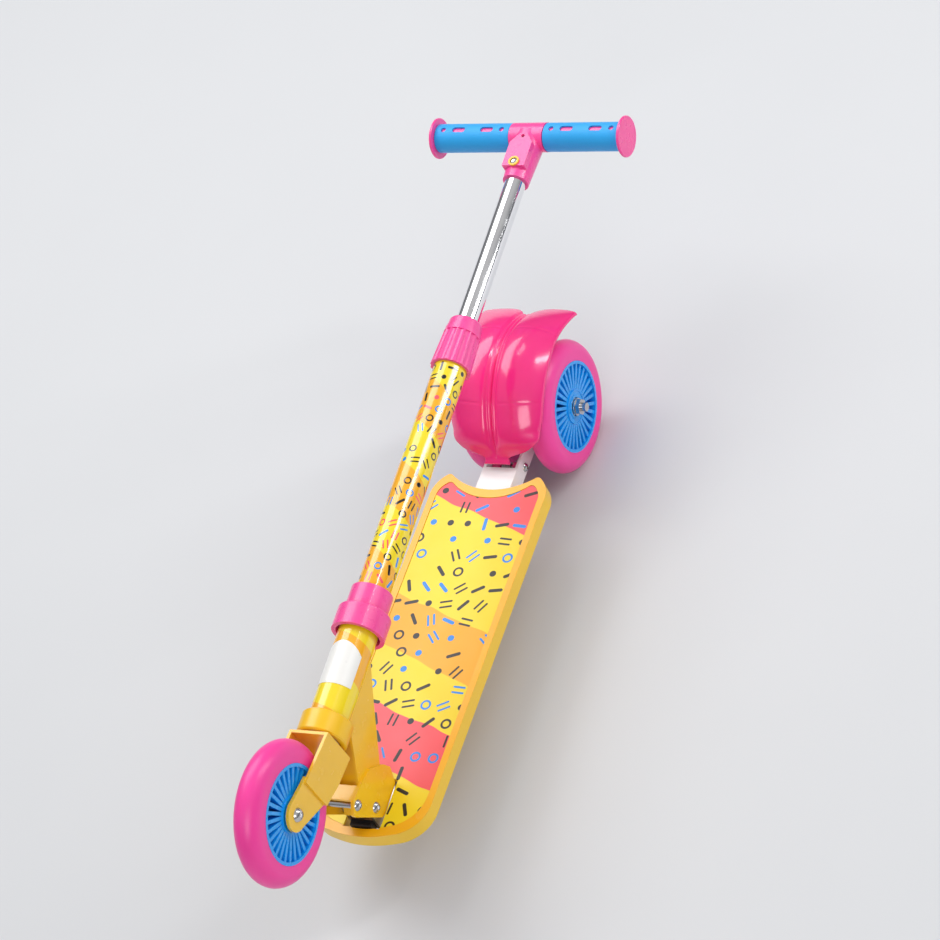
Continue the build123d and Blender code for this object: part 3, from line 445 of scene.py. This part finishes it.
def deck_material():
    """Deck moulding: warm yellow rim above paler side faces; the paler sides are painted light, standing for the
    lit side faces.
    """
    settings = bpy.context.scene.scooter_paint
    g = Graph("deck_moulding")
    # Painted light: below the rim the side faces get the paler yellow, a painted highlight for the faces that
    # catch the light.
    side = g.ramp(g.along((0, 0, 0), (0.0, 0.0, 1.0)), 74.2, 73.4)
    base = g.mix(side, mottled(g, paint(254, 184, 16), 0.05), mottled(g, paint(254, 204, 48), 0.05))
    wear = scuffs(g, settings.wear)
    base = g.mix(wear * 0.4, base, shade(MUSTARD, 0.6))
    roughness = 0.32 + (g.noise(80.0) - 0.5) * 0.14 + wear * 0.25
    relief = g.noise(1200.0, detail=2.0) * 0.5 + g.noise(140.0) * 0.3 - wear * 0.6
    return g.finish(base, roughness, relief, settings.grain, Coat_Weight=0.15, Coat_Roughness=0.15)


def grip_material():
    """Soft grip with a pebbled skin."""
    g = Graph("grip_skin")
    blue = paint(30, 172, 246)
    cell = g.node("ShaderNodeTexVoronoi", None, Vector=g.place, Scale=900.0)
    pebble = g.ramp(Value(g, cell.outputs["Distance"]), 0.6, 0.1)
    base = g.mix(pebble * 0.3, mottled(g, shade(blue, 0.92), 0.06), shade(blue, 1.08))
    roughness = 0.52 + (g.noise(120.0) - 0.5) * 0.16
    return g.finish(base, roughness, pebble, 0.00006, Sheen_Weight=0.15)


def tyre_material():
    """Cast tyre with a slightly duller tread."""
    g = Graph("tyre_rubber")
    pink = paint(254, 66, 162)
    dust = g.ramp(g.noise(30.0, detail=6.0), 0.5, 0.85)
    wear = scuffs(g, bpy.context.scene.scooter_paint.wear)
    base = g.mix(dust * 0.10, mottled(g, pink, 0.06), paint(214, 120, 160))
    roughness = 0.36 + (g.noise(45.0) - 0.5) * 0.16 + dust * 0.12 + wear * 0.2
    relief = g.noise(1100.0, detail=3.0) * 0.5 + g.noise(200.0) * 0.25 - wear
    return g.finish(base, roughness, relief, 0.00004, Subsurface_Weight=0.12,
                    Subsurface_Radius=(0.003, 0.001, 0.0012), Subsurface_Scale=0.8)


def dress(material, *names):
    """Give CAD pieces or new pieces one material."""
    for name in names:
        mesh = NODES[name].data if name in NODES else bpy.data.objects[name].data
        mesh.materials.clear()
        mesh.materials.append(material)


# ---------------------------------------------------------------- surfaces
def build(name, points, faces, body, replaced=(), smooth=True):
    """Object at the origin from vertex and quad arrays, riding on a CAD body.

    The quads are turned over if the volume that they enclose comes out negative.
    """
    a, b, c, d = (points[faces[:, i]] for i in range(4))
    if (a * (np.cross(b, c) + np.cross(c, d))).sum() < 0:
        faces = faces[:, ::-1]
    mesh = bpy.data.meshes.new(name)
    mesh.vertices.add(len(points))
    mesh.vertices.foreach_set("co", np.ascontiguousarray(points, dtype=np.float32).ravel())
    loops = faces.astype(np.int32).ravel()
    mesh.loops.add(len(loops))
    mesh.loops.foreach_set("vertex_index", loops)
    mesh.polygons.add(len(faces))
    mesh.polygons.foreach_set("loop_start", np.arange(0, len(loops), 4, dtype=np.int32))
    mesh.update(calc_edges=True)
    mesh.validate()
    mesh.polygons.foreach_set("use_smooth", np.full(len(mesh.polygons), smooth))
    made = bpy.data.objects.new(name, mesh)
    bpy.context.scene.collection.objects.link(made)
    if replaced:
        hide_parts(*replaced)
    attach(made, body)
    return made


def grid_faces(rows, columns, wrap_rows, wrap_columns):
    """Quads of a grid of vertices, closed on itself in either direction."""
    last_row = rows if wrap_rows else rows - 1
    last_column = columns if wrap_columns else columns - 1
    i, j = np.meshgrid(np.arange(last_row), np.arange(last_column), indexing="ij")
    i2, j2 = (i + 1) % rows, (j + 1) % columns
    corners = [i * columns + j, i2 * columns + j, i2 * columns + j2, i * columns + j2]
    return np.stack(corners, -1).reshape(-1, 4)


def turned(centre, across, reach, around):
    """Closed ring about X: a section of (across, reach) points swept round the centre."""
    turn = np.linspace(0, 2 * pi, around, endpoint=False)[:, None]
    x = np.broadcast_to(across, (around, len(across))) + centre[0]
    y = np.cos(turn) * reach + centre[1]
    z = np.sin(turn) * reach + centre[2]
    return np.stack([x, y, z], -1).reshape(-1, 3)


def coil(low, high, along, wire, turns):
    """Points and quads of a wound spring that fills a box.

    A round section of wire is carried along a helix about the given axis, and both cut
    ends are capped.
    """
    middle, half = (low + high) / 2, (high - low) / 2
    reach = min(half[k] for k in range(3) if k != along) - wire
    swing = np.linspace(0, 2 * pi * turns, 24 * turns + 1)[:, None]
    section = np.linspace(0, 2 * pi, 12, endpoint=False)[None, :]
    out = reach + wire * np.cos(section)
    rise = (swing / swing[-1] * 2 - 1) * (half[along] - wire) + wire * np.sin(section)
    about_x = np.stack([rise, out * np.cos(swing), out * np.sin(swing)], -1)
    points = np.roll(about_x, along, -1) + np.array(middle)
    k = np.arange(5)
    cap = np.stack([k, k + 1, 10 - k, 11 - k], -1)
    sides = grid_faces(len(swing), 12, False, True)
    faces = np.concatenate([sides, cap[:, ::-1], cap + (len(swing) - 1) * 12])
    return points.reshape(-1, 3), faces


def tyre_section(settings):
    """Closed section: half-round tread with a seam, flat sides, round inner corners."""
    n = settings.across
    core = settings.radius - settings.half
    swing = np.linspace(-pi / 2, pi / 2, n)
    tread_x = settings.half * np.sin(swing)
    tread_r = core + settings.half * np.cos(swing)
    tread_r = tread_r + settings.seam * (np.exp(-((tread_x / 0.0004) ** 2)) - 1)
    corner = np.linspace(0, pi / 2, 9)[1:]
    ease = 0.0009
    right_x = settings.half - ease + ease * np.cos(corner)
    right_r = settings.seat + ease - ease * np.sin(corner)
    down = np.linspace(core, settings.seat + ease, 10)[1:]
    side_x = np.full(9, settings.half)
    base = np.linspace(settings.half - ease, ease - settings.half, 13)[1:-1]
    across = np.concatenate([tread_x, side_x, right_x, base, -right_x[::-1], -side_x[::-1][:-1]])
    seat = np.full(11, settings.seat)
    reach = np.concatenate([tread_r, down, right_r, seat, right_r[::-1], down[::-1][:-1]])
    return across, reach


def smooth_between(x, low, high):
    """Eased step from 0 to 1."""
    t = np.clip((x - low) / (high - low), 0, 1)
    return t * t * (3 - 2 * t)


def through(x, stations, values):
    """Smooth curve through stations, by a cubic between neighbours."""
    stations, values = np.array(stations, float), np.array(values, float)
    slope = np.gradient(values, stations)
    k = np.clip(np.searchsorted(stations, x) - 1, 0, len(stations) - 2)
    h = stations[k + 1] - stations[k]
    t = np.clip((x - stations[k]) / h, 0, 1)
    a = (2 * t ** 3 - 3 * t ** 2 + 1) * values[k] + (t ** 3 - 2 * t ** 2 + t) * h * slope[k]
    return a + (3 * t ** 2 - 2 * t ** 3) * values[k + 1] + (t ** 3 - t ** 2) * h * slope[k + 1]


def fender_surface(settings):
    """Points and quads of the fender.

    Rows run from the tab over the wheels to the rear edge as an angle about the rear axle;
    columns run from side to side. The reach is a ridge line plus a bulge in each half that
    is zero at the spine and falls away to the side edges; the rear corners flare outwards.
    The wall is the middle surface moved half a thickness each way, thinned at its borders.
    """
    rows, columns = settings.along, settings.across
    t = np.linspace(0, 1, rows)[:, None]
    s = np.linspace(-1, 1, columns)[None, :]
    side = np.abs(s)
    end = 43.5 - 6.5 * smooth_between(side, 0.0, 0.34) + 3.0 * side ** 4
    angle = 168.5 + (end - 168.5) * t
    turn = 168.5 - angle
    half = through(turn, [0, 4.5, 8, 13, 24, 46, 75, 100, 128],
                   [12.6, 13.0, 28, 38.5, 43.5, 46.3, 46.6, 45.6, 46.6])
    ridge = through(turn, [0, 3.5, 12, 30, 48, 68, 88, 108, 128],
                    [78.6, 75.8, 72.2, 69.4, 70.6, 73.6, 77.4, 78.0, 77.6])
    swell = through(turn, [0, 4, 16, 40, 70, 95, 115, 128], [0, 0.4, 5.8, 7.6, 6.6, 4.2, 5.0, 7.0])
    lobe = np.sin(pi * np.clip(side, 0, 1) ** 0.8) ** 0.6
    drop = through(turn, [0, 6, 24, 60, 90, 112, 128], [0, 0.4, 4.5, 7.5, 8.5, 3.0, -4.0]) * side ** 3.2
    reach = ridge + swell * lobe - drop
    spine = settings.spine * MM / 46.0
    groove = np.exp(-(((side - spine) / 0.035) ** 2)) * smooth_between(turn, 8, 22)
    raised = (1 - smooth_between(side, spine * 0.55, spine)) * smooth_between(turn, 8, 22) * 0.5
    for seam, width in ((42.0, 0.55), (97.0, 0.55)):
        line = np.exp(-(((turn - seam - 2.0 * side) / width) ** 2)) * smooth_between(side, 0.13, 0.2)
        reach = reach - 0.35 * line
    reach = reach - 1.3 * groove + raised
    rim = np.clip((side - 0.975) / 0.025, 0, 1) ** 2
    lip = np.clip((np.abs(t - 0.5) - 0.488) / 0.012, 0, 1) ** 2
    wall = settings.thick * MM * np.sqrt(np.clip(1.0 - np.maximum(rim, lip) * 0.96, 0, 1))
    flare = smooth_between(side, 0.6, 1.0) * smooth_between(turn, 104, 128)
    phi = np.radians(angle)
    sheets = []
    for way in (0.5, -0.5):
        r = (reach + way * wall) / MM
        x = (half * s + np.sign(s) * flare * 0.2) / MM + 0 * r
        sheets.append(np.stack([x, REAR.y + r * np.cos(phi), REAR.z + r * np.sin(phi)], -1))
    loop = np.concatenate([sheets[0], sheets[1][:, ::-1]], 1)
    around = loop.shape[1]
    faces = grid_faces(rows, around, False, True)
    k = np.arange(columns - 1)
    cap = np.stack([k, k + 1, around - 2 - k, around - 1 - k], -1)
    faces = np.concatenate([faces, cap, cap[:, ::-1] + (rows - 1) * around])
    return loop.reshape(-1, 3), faces


# ---------------------------------------------------------------- operators
class SCOOTER_OT_tyres(bpy.types.Operator):
    """Build the three tyres: a half-round tread with a mould seam, swept round the axle."""

    bl_idname = "scooter.tyres"
    bl_label = "Tyres"

    def execute(self, context):
        settings = context.scene.scooter_tyre
        across, reach = tyre_section(settings)
        rubber = tyre_material()
        faces = grid_faces(settings.around, len(across), True, True)
        for node, body in (("front_tyre", "front_wheel"), ("rear_left_tyre", "rear_wheel_left"),
                           ("rear_right_tyre", "rear_wheel_right")):
            low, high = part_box(node)
            points = turned((low + high) / 2, across, reach, settings.around)
            build(node + "_surface", points, faces, body, (node,))
            dress(rubber, node + "_surface")
        return {"FINISHED"}


class SCOOTER_OT_wheels(bpy.types.Operator):
    """Give hubs, bearings and axle hardware their finishes."""

    bl_idname = "scooter.wheels"
    bl_label = "Hubs and axles"

    def execute(self, context):
        blue = plastic("hub_plastic", paint(20, 160, 246), 0.28, 0.4, 0.25, glow=0.05)
        dress(blue, "front_hub", "rear_left_hub", "rear_right_hub")
        steel = bare_metal("zinc_steel", (0.62, 0.62, 0.63), 0.24)
        dress(steel, "front_axle_bolt", "front_axle_nut", "front_axle_spacers", "rear_axle_bolt",
              "rear_axle_nut", "rear_axle_spacers", "front_bearings", "rear_left_bearings", "rear_right_bearings")
        return {"FINISHED"}


class SCOOTER_OT_fender(bpy.types.Operator):
    """Build the fender: two swelling halves either side of a spine, with flared rear corners."""

    bl_idname = "scooter.fender"
    bl_label = "Fender"

    def execute(self, context):
        points, faces = fender_surface(context.scene.scooter_fender)
        build("fender_surface", points, faces, "brake", ("rear_fender",))
        dress(plastic("fender_plastic", paint(254, 44, 134), 0.2, 0.25, 0.5, glow=0.06), "fender_surface")
        swing = np.linspace(0, 2 * pi, 24, endpoint=False)
        for side, name in ((1.0, "left"), (-1.0, "right")):
            across = side * (0.0101 + 0.0039 * np.cos(swing))
            reach = 0.0038 + 0.0011 * np.sin(swing)
            ring = turned(BRAKE_PIN, across, reach, 64)
            faces = grid_faces(64, 24, True, True)
            build("fender_boss_" + name, ring, faces, "brake", ("rear_fender",))
            dress(bpy.data.materials["fender_plastic"], "fender_boss_" + name)
        return {"FINISHED"}


class SCOOTER_OT_column(bpy.types.Operator):
    """Give the fork, tubes, collars and headset their finishes."""

    bl_idname = "scooter.column"
    bl_label = "Fork and column"

    def execute(self, context):
        dress(painted("yellow_paint", paint(250, 196, 24)), "fork", "neck", "hinge_web", "hinge_cheek_left",
              "hinge_cheek_right")
        dress(plastic("yellow_plastic", paint(252, 196, 26), 0.3, 0.4, 0.2), "lower_cup", "button_bezel")
        dress(tube_material(), "outer_tube")
        dress(head_material(), "head_tube")
        dress(plastic("label_film", PAPER, 0.3, 0.2, 0.3, 0.02), "label")
        dress(plastic("pink_plastic", paint(255, 80, 160), 0.28, 0.5, 0.2, glow=0.06), "lower_collar",
              "height_collar", "handle_head", "end_cap_left", "end_cap_right")
        dress(plastic("grey_plastic", paint(120, 122, 126), 0.45, 0.8), "steerer_insert", "collet",
              "stem_foot",
              "headset_bearings", "pivot_sleeve")
        dress(bare_metal("dark_steel", (0.45, 0.45, 0.46), 0.3), "steerer", "crown_race", "bar_tube",
              "hinge_bracket",
              "button_spring")
        return {"FINISHED"}


class SCOOTER_OT_handlebar(bpy.types.Operator):
    """Give the stem, grips, button and screws their finishes."""

    bl_idname = "scooter.handlebar"
    bl_label = "Stem and handlebar"

    def execute(self, context):
        chrome = bare_metal("chrome_plate", (0.86, 0.86, 0.88), 0.07, 0.3, 0.000004)
        dress(chrome, "stem_tube", "handle_button")
        dress(grip_material(), "grip_left", "grip_right")
        dress(bare_metal("bright_screws", (0.55, 0.55, 0.56), 0.2), "head_screw", "pivot_bolt", "lock_bolt",
              "hinge_nuts", "bracket_screws", "tail_screws", "brake_pin", "brake_pin_nut")
        return {"FINISHED"}


class SCOOTER_OT_deck(bpy.types.Operator):
    """Give the deck, its mat, the latch and the tail their finishes."""

    bl_idname = "scooter.deck"
    bl_label = "Deck"

    def execute(self, context):
        dress(deck_material(), "deck_tray")
        dress(mat_material(), "deck_mat")
        # Painted shade: the latch block is coloured near-black to stand for the shadow in the slot at the deck's
        # front.
        dress(plastic("black_plastic", paint(28, 27, 30), 0.4, 0.8), "latch_block")
        dress(painted("white_paint", paint(236, 234, 236), 0.3, 0.4), "tail_bracket")
        return {"FINISHED"}


class SCOOTER_OT_springs(bpy.types.Operator):
    """Wind the brake and latch springs; the latch spring's mesh is made a copy of its own."""

    bl_idname = "scooter.springs"
    bl_label = "Springs"

    def execute(self, context):
        wire_finish = bare_metal("spring_wire", (0.5, 0.5, 0.52), 0.28)
        for node, along, wire, turns in (("brake_spring", 0, 0.0006, 5), ("latch_spring", 2, 0.0004, 4)):
            low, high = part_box(node)
            points, faces = coil(low, high, along, wire, turns)
            made = build(node + "_wire", points, faces, "deck", (node,))
            dress(wire_finish, made.name)
            if node == "latch_spring":
                travel = max(abs(limit) for limit in JOINTS["latch_push"]["range_m"])
                keep = max(0.02, 1 - travel / (high.z - low.z))
                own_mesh(made)
        return {"FINISHED"}


class SCOOTER_OT_stage(bpy.types.Operator):
    """Set a pale floor, soft lights, the camera and a view transform that keeps strong colours strong."""

    bl_idname = "scooter.stage"
    bl_label = "Stage"

    def execute(self, context):
        settings = context.scene.scooter_stage
        bpy.ops.mesh.primitive_plane_add(size=60.0, location=(0, 0, -0.0004))
        floor = context.object
        floor.name = "floor"
        g = Graph("floor_paint")
        tone = mottled(g, (0.64, 0.65, 0.67), 0.015, 6.0)
        floor.data.materials.append(g.finish(tone, 0.6, g.noise(300.0), 0.00002))
        aim = Vector((0, 0.05, 0.15))
        for name, place, wide, tall, power in (
            ("key", (-1.0, 0.9, 1.9), 1.9, 1.3, settings.key),
            ("strip", (1.45, 0.95, 1.15), 0.22, 1.6, settings.fill),
            ("front", (0.9, -1.9, 1.5), 1.2, 0.9, settings.fill),
        ):
            lamp = bpy.data.lights.new(name, "AREA")
            lamp.shape = "RECTANGLE"
            lamp.energy = power
            lamp.size = wide
            lamp.size_y = tall
            made = bpy.data.objects.new(name, lamp)
            made.location = place
            made.rotation_euler = (aim - Vector(place)).to_track_quat("-Z", "Y").to_euler()
            context.scene.collection.objects.link(made)
        world = bpy.data.worlds.new("studio")
        world.use_nodes = True
        sky = world.node_tree.nodes["Background"]
        sky.inputs["Strength"].default_value = settings.sky
        nodes, links = world.node_tree.nodes, world.node_tree.links
        upward = nodes.new("ShaderNodeSeparateXYZ")
        links.new(nodes.new("ShaderNodeTexCoord").outputs["Generated"], upward.inputs[0])
        fade = nodes.new("ShaderNodeValToRGB")
        fade.color_ramp.elements[0].position = 0.05
        fade.color_ramp.elements[0].color = (0.16, 0.17, 0.19, 1.0)
        fade.color_ramp.elements[1].position = 0.75
        fade.color_ramp.elements[1].color = (1.0, 1.0, 1.0, 1.0)
        links.new(upward.outputs["Z"], fade.inputs["Fac"])
        links.new(fade.outputs["Color"], sky.inputs["Color"])
        context.scene.world = world
        camera = bpy.data.cameras.new("camera")
        camera.lens = settings.lens
        camera.sensor_width = 36.0
        camera.clip_end = 50.0
        seat = bpy.data.objects.new("camera", camera)
        seat.location = (1.4942, -1.5106, 2.3460)
        seat.rotation_euler = (radians(39.630), radians(21.599), radians(19.394))
        context.scene.collection.objects.link(seat)
        context.scene.camera = seat
        context.scene.view_settings.view_transform = "Standard"
        return {"FINISHED"}


class SCOOTER_PT_panel(bpy.types.Panel):
    """Buttons for each part of the work, in the 3D view's sidebar."""

    bl_idname = "SCOOTER_PT_panel"
    bl_label = "Folding scooter"
    bl_space_type = "VIEW_3D"
    bl_region_type = "UI"
    bl_category = "Scooter"

    def draw(self, context):
        for operator in OPERATORS:
            self.layout.operator(operator.bl_idname)


OPERATORS = (SCOOTER_OT_tyres, SCOOTER_OT_wheels, SCOOTER_OT_fender, SCOOTER_OT_column, SCOOTER_OT_handlebar,
             SCOOTER_OT_deck, SCOOTER_OT_springs, SCOOTER_OT_stage)
SETTINGS = {"scooter_tyre": ScooterTyreSettings, "scooter_fender": ScooterFenderSettings,
            "scooter_paint": ScooterPaintSettings, "scooter_stage": ScooterStageSettings}


def register():
    """Register the settings, operators and panel."""
    for name, group in SETTINGS.items():
        bpy.utils.register_class(group)
        setattr(bpy.types.Scene, name, PointerProperty(type=group))
    for made in (*OPERATORS, SCOOTER_PT_panel):
        bpy.utils.register_class(made)


def unregister():
    """Take them away again."""
    for made in (SCOOTER_PT_panel, *reversed(OPERATORS)):
        bpy.utils.unregister_class(made)
    for name, group in SETTINGS.items():
        delattr(bpy.types.Scene, name)
        bpy.utils.unregister_class(group)


def main():
    """Register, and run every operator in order."""
    register()
    for operator in OPERATORS:
        group, name = operator.bl_idname.split(".")
        done = getattr(getattr(bpy.ops, group), name)()
        if done != {"FINISHED"}:
            raise RuntimeError(f"{operator.bl_idname} did not finish")


if __name__ == "__main__":
    main()
